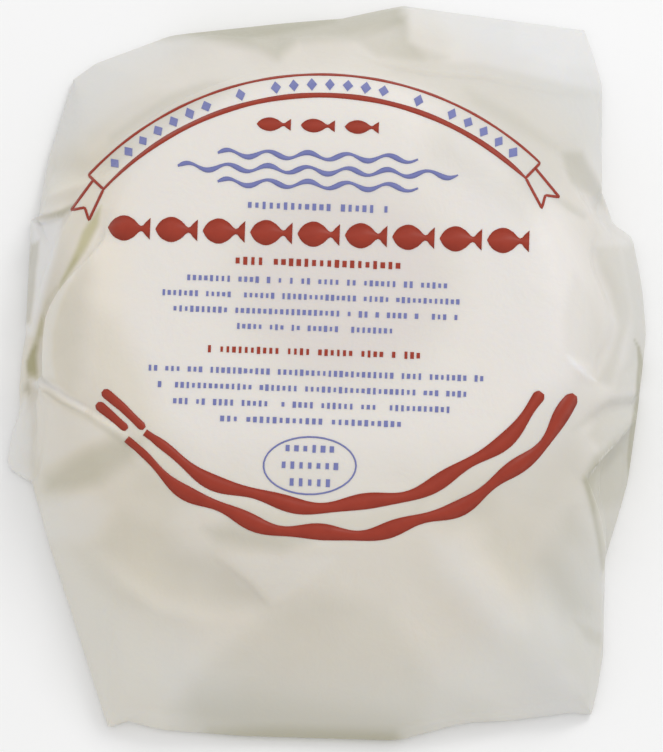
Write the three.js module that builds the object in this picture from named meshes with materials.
// A round fish pudding of about 450 g, sealed in white wrapping film.
// The pack lies on its folded back with the printed side up. Millimetres, +Z up, the reading
// direction of the print along +Y. The origin is the middle of the pack's footprint, on the base.
//
// The film is drawn tight over the pudding's shoulder and runs straight down to a hem that is folded
// under all round. That taut shape is worked out first. Air under the film then rounds it out, and the
// pleats and creases lift or sink it along its own normal.
import * as THREE from "three";

// The pudding under the film: a low crown, then an edge that rounds off ever faster to upright.
const PUDDING_RADIUS = 66;
const PUDDING_HEIGHT = 37.5;
const CROWN = 1.5;
const EDGE_DROP = 14;
const EDGE_POWER = 14;
const FLAT_RADIUS = 50;
const PROFILE_STEPS = 400;

// The hem is the outline of the folded-under film: x, y of its corners, anticlockwise from the near
// left, measured from the pudding's middle.
const HEM = [
  [-55.3, -96.4],
  [16, -100.2],
  [65, -93.3],
  [67, -86],
  [68.3, -78],
  [68.5, -70],
  [68.6, 72],
  [66.8, 78.4],
  [64, 86.5],
  [18.5, 93.1],
  [-40, 85.2],
  [-58.8, 77.8],
  [-64.5, 73.5],
  [-67.1, 65.2],
  [-71, 52],
  [-73.1, 39],
  [-75.2, 5],
  [-74.5, -33.4],
];
const HEM_RISE = 2.4; // thickness of the film layers at the hem
const HEM_BULGE = 0.8; // how far the fold swells out past the end of the slope
const CORNER_SHARE = 0.5; // share of each turn that is made at the corner itself
const FACET_SOFTNESS = 2; // how many columns to each side the facets of the film run into

// Air under the film rounds each slope outwards, most at the near end, and steepens it at the hem.
const SLOPE_BULGE = 0.8;
const NEAR_BULGE = 2.6;
const BULGE_POWER = 5;

// Where the side film stands out past the hem, or the hem falls back. A stretch gives the distance
// outwards at places along the side (y at the left and right, x at the near end), and from is the
// share of the slope, counted from the shoulder down, at which the film starts to lean out.
const STRETCHES = [
  { name: "left_ear", side: "left", from: 0.5,
    reach: [[-33.5, 0], [-31, 4.5], [-27, 5.8], [-20, 4.8], [-13.6, 2.8], [-0.5, 2.1], [6, 0.9], [35.5, 1.2],
            [36.5, 0]] },
  { name: "right_billow", side: "right", from: 0,
    reach: [[-54, 0], [-33, 5.4], [-13, 8.4], [6, 10.4], [19, 9.4], [32.4, 6.6], [39, 1.4], [44, 0]] },
  { name: "near_notch", side: "near", from: 0.8,
    reach: [[18, 0], [28.8, -1.4], [35, -1.8], [45, -1], [60, -1], [65, 0]] },
];

// Sampling of the faceted solid.
const COLUMN_COUNT = 196;
const KNOT_STEPS = 200;
const TOP_RINGS = 4;
const SHOULDER_RINGS = 6;
const SLOPE_RINGS = 13;
const HEM_RINGS = [[1, 0.55], [0.6, 0.15], [-1, 0]]; // bulge and height of each, as shares
const BASE_RINGS = 2;
const ROUTE_STEP = 4; // spacing of the places at which a fold is set onto the film

// Folds are drawn as a viewer sees them from the near side, this far above the horizon: u runs to the
// right and v away from the viewer, both in millimetres from the pudding's middle at the base.
const VIEW_ELEVATION = THREE.MathUtils.degToRad(72);
const VIEW_UP = new THREE.Vector3(0, Math.sin(VIEW_ELEVATION), Math.cos(VIEW_ELEVATION));
const VIEW_BACK = new THREE.Vector3(0, -Math.cos(VIEW_ELEVATION), Math.sin(VIEW_ELEVATION));

// Each fold follows a path of u, v points. rise lists how far it lifts the film, evenly along the path
// (negative for a valley), and width is its half width. A crease has an edge, a swell is round.
const FOLDS = [
  { name: "left_pleat_valley", shape: "crease", rise: [-0.5, -3, -4.5, -5, -6, -5], width: 5,
    path: [[-56, 38], [-63, 24.5], [-70, 13], [-73.5, 1], [-74, -4]] },
  { name: "left_pleat_ridge", shape: "swell", rise: [1, 2.5, 2, 1.5], width: 4,
    path: [[-61, 40], [-66, 30], [-70, 20], [-75.5, 2]] },
  { name: "left_pouch", shape: "swell", rise: [-0.5, -1.5, -0.5], width: 5,
    path: [[-64, 16], [-65.5, 5], [-64, -6]] },
  { name: "left_tuck_ridge", shape: "crease", rise: [1, 2.4, 2, 1.4, 0.4], width: 5,
    path: [[-76, -3.5], [-69, -9], [-56, -17.5], [-49, -22]] },
  { name: "left_low_hollow", shape: "swell", rise: [-3, -2.8, -1.2], width: 5,
    path: [[-70, -31], [-60, -27], [-51, -22]] },
  { name: "far_left_hollow", shape: "swell", rise: [-0.8, -2.2, -1.6], width: 6,
    path: [[-30, 67], [-45, 60], [-56, 51]] },
  { name: "far_flap_fall", shape: "crease", rise: [-0.3, -2, -3.5, -4.5, -4.5], width: 12,
    path: [[2, 79], [12, 75.5], [25, 74], [47, 72], [66, 68]] },
  { name: "far_rim_ridge", shape: "crease", rise: [0, 1.7, 1.8, 1.6, 0.4], width: 6,
    path: [[-42, 78], [-25, 79], [-13, 75.5], [8, 80]] },
  { name: "far_right_dent", shape: "swell", rise: [-1.4, -2.2, -1.6], width: 9,
    path: [[60.5, 50], [64, 45], [67, 38]] },
  { name: "right_bow_valley", shape: "swell", rise: [-0.8, -2, -1.8, -0.8, -1.4], width: 5.5,
    path: [[66, 31], [66.5, 24], [71, 10], [68.5, 0], [67, -5]] },
  { name: "right_fan_valley", shape: "swell", rise: [-2.2, -1.8, -0.4], width: 6,
    path: [[74, -10], [68, -12.5], [61, -17.5]] },
  { name: "right_fold_ridge", shape: "swell", rise: [1, 2.2, 0.6], width: 7,
    path: [[73, -18], [69, -23], [62, -31]] },
  { name: "near_left_tuck", shape: "swell", rise: [-0.4, -1.6, -2.2, -1.2], width: 7,
    path: [[-55, -42], [-45, -51], [-30, -57], [-14, -58]] },
  { name: "near_left_ridge", shape: "crease", rise: [0.5, 1.3, 1.8, 1.2], width: 11,
    path: [[-13, -62], [-22, -70], [-33, -78], [-41, -87]] },
  { name: "near_mid_hollow", shape: "swell", rise: [-0.4, -1.3, -1, -0.4], width: 8,
    path: [[-26, -86], [-10, -86], [5, -85], [16, -84]] },
  { name: "near_right_ridge", shape: "swell", rise: [0.2, 1.6, 2.3, 2.3, 2, 1], width: 7.5,
    path: [[27, -43], [34, -52], [43, -61], [52, -70], [60, -80], [64, -86]] },
  { name: "near_right_valley", shape: "swell", rise: [-0.5, -1.6, -2.2, -2.4, -1.5], width: 6,
    path: [[38, -36], [45, -43], [54, -53], [62, -62], [67, -68]] },
];
const HEM_HOLD = 0.15; // share of the slope above the hem over which the folds die out
const LIFT_LIMIT = 5; // the most that folds together move the film

// Direction angle of the outward normal of each hem edge, always increasing.
function edgeNormals() {
  const angles = HEM.map(([x, y], k) => {
    const [nextX, nextY] = HEM[(k + 1) % HEM.length];
    return Math.atan2(x - nextX, nextY - y);
  });
  for (let k = 1; k < angles.length; k++) {
    while (angles[k] < angles[k - 1] - Math.PI) angles[k] += 2 * Math.PI;
  }
  return angles;
}

// The knots of the film: at each corner of the hem, the first and the last direction on the pudding's
// rim that runs to it.
function filmKnots() {
  const normals = edgeNormals();
  const knots = [];
  HEM.forEach(([x, y], k) => {
    const before = k === 0 ? normals[HEM.length - 1] - 2 * Math.PI : normals[k - 1];
    const spread = ((normals[k] - before) * CORNER_SHARE) / 2;
    const middle = (normals[k] + before) / 2;
    knots.push({ angle: middle - spread, x, y }, { angle: middle + spread, x, y });
  });
  knots.push({ ...knots[0], angle: knots[0].angle + 2 * Math.PI });
  return knots;
}

// The columns of the film: each joins one direction on the rim to one point of the hem. They are
// spread evenly by the length of the line half way between the rim and the hem.
function filmColumns() {
  const knots = filmKnots();
  const fine = [];
  knots.slice(1).forEach((to, k) => {
    const from = knots[k];
    for (let i = 0; i < KNOT_STEPS; i++) {
      const t = i / KNOT_STEPS;
      const [angle, x, y] = ["angle", "x", "y"].map((key) => THREE.MathUtils.lerp(from[key], to[key], t));
      const middleX = (x + PUDDING_RADIUS * Math.cos(angle)) / 2;
      const middleY = (y + PUDDING_RADIUS * Math.sin(angle)) / 2;
      const last = fine[fine.length - 1];
      const step = last ? Math.hypot(middleX - last.middleX, middleY - last.middleY) : 0;
      fine.push({ angle, x, y, middleX, middleY, length: last ? last.length + step : 0 });
    }
  });
  const total = fine[fine.length - 1].length;
  const columns = [];
  for (let i = 0; i < COLUMN_COUNT; i++) {
    columns.push(fine.find(({ length }) => length >= (total * i) / COLUMN_COUNT));
  }
  return columns;
}

// The pudding's outside from the middle of its top: radius, height and length along it.
function puddingProfile() {
  const profile = [];
  for (let i = 0; i <= PROFILE_STEPS; i++) {
    const share = 1 - (1 - i / PROFILE_STEPS) ** 2.5;
    const radius = share * PUDDING_RADIUS;
    const edge = 1 - Math.sqrt(1 - share ** EDGE_POWER);
    const height = PUDDING_HEIGHT - CROWN * share ** 2 - EDGE_DROP * edge;
    const last = profile[i - 1];
    const length = last ? last.length + Math.hypot(radius - last.radius, height - last.height) : 0;
    profile.push({ radius, height, length });
  }
  return profile;
}

// The place on the profile at a length along it.
function placeOnProfile(profile, length) {
  const next = Math.max(1, profile.findIndex((place) => place.length >= length));
  const [a, b] = [profile[next - 1], profile[next]];
  const t = (length - a.length) / (b.length - a.length);
  return { radius: THREE.MathUtils.lerp(a.radius, b.radius, t), height: THREE.MathUtils.lerp(a.height, b.height, t) };
}

// The points of one column of taut film, from the first ring of the top down to the hem.
function columnPoints(profile, { angle, x, y }) {
  const out = new THREE.Vector3(Math.cos(angle), Math.sin(angle), 0);
  const hem = new THREE.Vector3(x, y, HEM_RISE).addScaledVector(out, -HEM_BULGE);
  const across = hem.dot(out);
  const sight = ({ radius, height }) => Math.atan2(height - HEM_RISE, across - radius);
  const leave = profile.reduce((best, place) => (sight(place) > sight(best) ? place : best));
  const flat = profile.find(({ radius }) => radius >= FLAT_RADIUS);
  const points = [];
  const addPoint = (length) => {
    const { radius, height } = placeOnProfile(profile, length);
    points.push(out.clone().multiplyScalar(radius).setZ(height));
  };
  for (let i = 1; i <= TOP_RINGS; i++) {
    addPoint((flat.length * i) / TOP_RINGS);
  }
  for (let i = 1; i <= SHOULDER_RINGS; i++) {
    addPoint(THREE.MathUtils.lerp(flat.length, leave.length, i / SHOULDER_RINGS));
  }
  const last = points[points.length - 1];
  for (let i = 1; i <= SLOPE_RINGS; i++) {
    points.push(last.clone().lerp(hem, i / SLOPE_RINGS));
  }
  return points;
}

// Runs neighbouring facets into each other: a moving average along each ring.
function softenRings(grid) {
  const reach = FACET_SOFTNESS;
  const count = grid.length;
  return grid.map((column, c) =>
    column.map((_, r) => {
      const sum = new THREE.Vector3();
      for (let k = -reach; k <= reach; k++) {
        sum.addScaledVector(grid[(c + k + count) % count][r], reach + 1 - Math.abs(k));
      }
      return sum.divideScalar((reach + 1) ** 2);
    }),
  );
}

// Share of the slope between the shoulder and the hem, from 0 to 1, that a ring lies at.
function slopeShare(ring) {
  return Math.max(0, (ring + 1 - TOP_RINGS - SHOULDER_RINGS) / SLOPE_RINGS);
}

// Distance outwards of a stretch at a place along its side, and 0 off its ends.
function stretchReach(reach, place) {
  for (let i = 0; i + 1 < reach.length; i++) {
    const [[from, low], [to, high]] = [reach[i], reach[i + 1]];
    if (place >= from && place <= to) return THREE.MathUtils.mapLinear(place, from, to, low, high);
  }
  return 0;
}

// Leans the film out, or in, along each stretch.
function stretchSides(grid) {
  const outward = {
    left: new THREE.Vector3(-1, 0, 0),
    right: new THREE.Vector3(1, 0, 0),
    near: new THREE.Vector3(0, -1, 0),
  };
  return grid.map((column) => {
    const hem = column[column.length - 1];
    return column.map((point, r) => {
      const moved = point.clone();
      STRETCHES.forEach(({ side, from, reach }) => {
        if (hem.dot(outward[side]) < PUDDING_RADIUS) return;
        const place = side === "near" ? hem.x : hem.y;
        const lean = Math.max(0, (slopeShare(r) - from) / (1 - from));
        moved.addScaledVector(outward[side], stretchReach(reach, place) * lean);
      });
      return moved;
    });
  });
}

// How far air under the film rounds out a column at a ring.
function slopeBulge({ angle }, ring) {
  const swell = (share) => share * (1 - share ** BULGE_POWER);
  const peak = (1 + BULGE_POWER) ** (-1 / BULGE_POWER);
  const towardsNear = Math.max(0, -Math.sin(angle)) ** 2;
  const most = THREE.MathUtils.lerp(SLOPE_BULGE, NEAR_BULGE, towardsNear);
  return (most * swell(slopeShare(ring))) / swell(peak);
}

// Moves each grid point along the film's outward normal by the distance that lift gives for it.
function liftFilm(grid, lift) {
  const count = grid.length;
  const crown = new THREE.Vector3(0, 0, PUDDING_HEIGHT);
  return grid.map((column, c) =>
    column.map((point, r) => {
      const around = grid[(c + 1) % count][r].clone().sub(grid[(c - 1 + count) % count][r]);
      const above = r === 0 ? crown : column[r - 1];
      const below = column[Math.min(r + 1, column.length - 1)];
      const normal = below.clone().sub(above).cross(around).normalize();
      return point.clone().addScaledVector(normal, lift(point, c, r));
    }),
  );
}

// The place on the film that the viewer sees at u, v: on the nearest triangle in front of that spot,
// or else the grid point that is seen closest to it.
function seenPoint(triangles, u, v) {
  let [best, front] = [null, -Infinity];
  let [spare, closest] = [null, Infinity];
  triangles.forEach(([a, b, c]) => {
    const [pu, pv] = [u - a.x, v - a.dot(VIEW_UP)];
    const [bu, bv] = [b.x - a.x, b.dot(VIEW_UP) - a.dot(VIEW_UP)];
    const [cu, cv] = [c.x - a.x, c.dot(VIEW_UP) - a.dot(VIEW_UP)];
    if (Math.hypot(pu, pv) < closest) [spare, closest] = [a, Math.hypot(pu, pv)];
    const area = bu * cv - bv * cu;
    if (Math.abs(area) < Number.EPSILON) return;
    const [s, t] = [(pu * cv - pv * cu) / area, (bu * pv - bv * pu) / area];
    if (s < 0 || t < 0 || s + t > 1) return;
    const point = a.clone().multiplyScalar(1 - s - t).addScaledVector(b, s).addScaledVector(c, t);
    if (point.dot(VIEW_BACK) > front) [best, front] = [point, point.dot(VIEW_BACK)];
  });
  return best ?? spare;
}

// A fold's path set onto the film, as points a few millimetres apart.
function foldRoute(triangles, path) {
  const route = [];
  path.slice(1).forEach(([endU, endV], i) => {
    const [u, v] = path[i];
    const steps = Math.ceil(Math.hypot(endU - u, endV - v) / ROUTE_STEP);
    for (let k = i === 0 ? 0 : 1; k <= steps; k++) {
      const t = k / steps;
      route.push(seenPoint(triangles, THREE.MathUtils.lerp(u, endU, t), THREE.MathUtils.lerp(v, endV, t)));
    }
  });
  return route;
}

// The rise of a fold at a share of its path.
function riseAt(rise, share) {
  const place = share * (rise.length - 1);
  const before = Math.min(Math.floor(place), rise.length - 2);
  return THREE.MathUtils.lerp(rise[before], rise[before + 1], place - before);
}

// How far one fold lifts the film at a point.
function foldLift({ shape, rise, width, route }, point) {
  const segment = new THREE.Line3();
  const nearest = new THREE.Vector3();
  let [distance, share] = [Infinity, 0];
  for (let i = 0; i + 1 < route.length; i++) {
    segment.set(route[i], route[i + 1]);
    const along = segment.closestPointToPointParameter(point, true);
    segment.at(along, nearest);
    if (nearest.distanceTo(point) < distance) {
      [distance, share] = [nearest.distanceTo(point), (i + along) / (route.length - 1)];
    }
  }
  const away = distance / width;
  const fall = shape === "crease" ? Math.exp(1 - Math.hypot(1, 1.8 * away)) : Math.exp(-(away ** 2));
  return riseAt(rise, share) * fall;
}

// Rounds the film out with air, then lays the folds over it.
function foldFilm(columns, grid) {
  const full = liftFilm(grid, (point, c, r) => slopeBulge(columns[c], r));
  const triangles = [];
  full.forEach((column, c) => {
    const next = full[(c + 1) % full.length];
    for (let r = 0; r + 1 < column.length; r++) {
      triangles.push([column[r], column[r + 1], next[r + 1]], [column[r], next[r + 1], next[r]]);
    }
  });
  const folds = FOLDS.map((fold) => ({ ...fold, route: foldRoute(triangles, fold.path) }));
  return liftFilm(full, (point, c, r) => {
    const held = Math.min(1, (1 - slopeShare(r)) / HEM_HOLD);
    const lift = folds.reduce((sum, fold) => sum + foldLift(fold, point), 0);
    return held * LIFT_LIMIT * Math.tanh(lift / LIFT_LIMIT);
  });
}

// Closes a stack of rings, each with the same number of points, between two pole points.
function closedFromRings(rings, topPole, bottomPole) {
  const columns = rings[0].length;
  const points = [topPole, ...rings.flat(), bottomPole];
  const at = (ring, column) => 1 + ring * columns + (column % columns);
  const bottom = points.length - 1;
  const index = [];
  for (let c = 0; c < columns; c++) {
    index.push(0, at(0, c), at(0, c + 1));
    for (let r = 0; r + 1 < rings.length; r++) {
      index.push(at(r, c), at(r + 1, c), at(r + 1, c + 1));
      index.push(at(r, c), at(r + 1, c + 1), at(r, c + 1));
    }
    index.push(bottom, at(rings.length - 1, c + 1), at(rings.length - 1, c));
  }
  const geometry = new THREE.BufferGeometry().setFromPoints(points);
  geometry.setIndex(index);
  geometry.computeVertexNormals();
  return geometry;
}

// The whole pack: the folded film on top, the hem's round edge and the flat back.
function packGeometry() {
  const columns = filmColumns();
  const profile = puddingProfile();
  const taut = columns.map((column) => columnPoints(profile, column));
  const grid = foldFilm(columns, stretchSides(softenRings(taut)));
  const rings = grid[0].map((_, r) => grid.map((column) => column[r]));
  const hem = rings[rings.length - 1];
  HEM_RINGS.forEach(([bulge, height]) => {
    rings.push(
      hem.map(({ x, y }, c) => {
        const { angle } = columns[c];
        const push = bulge * HEM_BULGE;
        return new THREE.Vector3(x + Math.cos(angle) * push, y + Math.sin(angle) * push, HEM_RISE * height);
      }),
    );
  });
  const foot = rings[rings.length - 1];
  for (let i = 1; i < BASE_RINGS; i++) {
    rings.push(foot.map((point) => point.clone().multiplyScalar(1 - i / BASE_RINGS)));
  }
  const geometry = closedFromRings(rings, new THREE.Vector3(0, 0, PUDDING_HEIGHT), new THREE.Vector3());
  geometry.computeBoundingBox();
  return geometry;
}

const film = new THREE.MeshStandardMaterial({ color: 0xe4dfd6, roughness: 0.45, metalness: 0 });
const wrappedPudding = new THREE.Mesh(packGeometry(), film);
wrappedPudding.name = "wrapped_pudding";

// The footprint's middle comes to the origin, and the back to z = 0.
const { min, max } = wrappedPudding.geometry.boundingBox;
wrappedPudding.position.set(-(min.x + max.x) / 2, -(min.y + max.y) / 2, -min.z);

const pack = new THREE.Group();
pack.add(wrappedPudding);

export default pack;
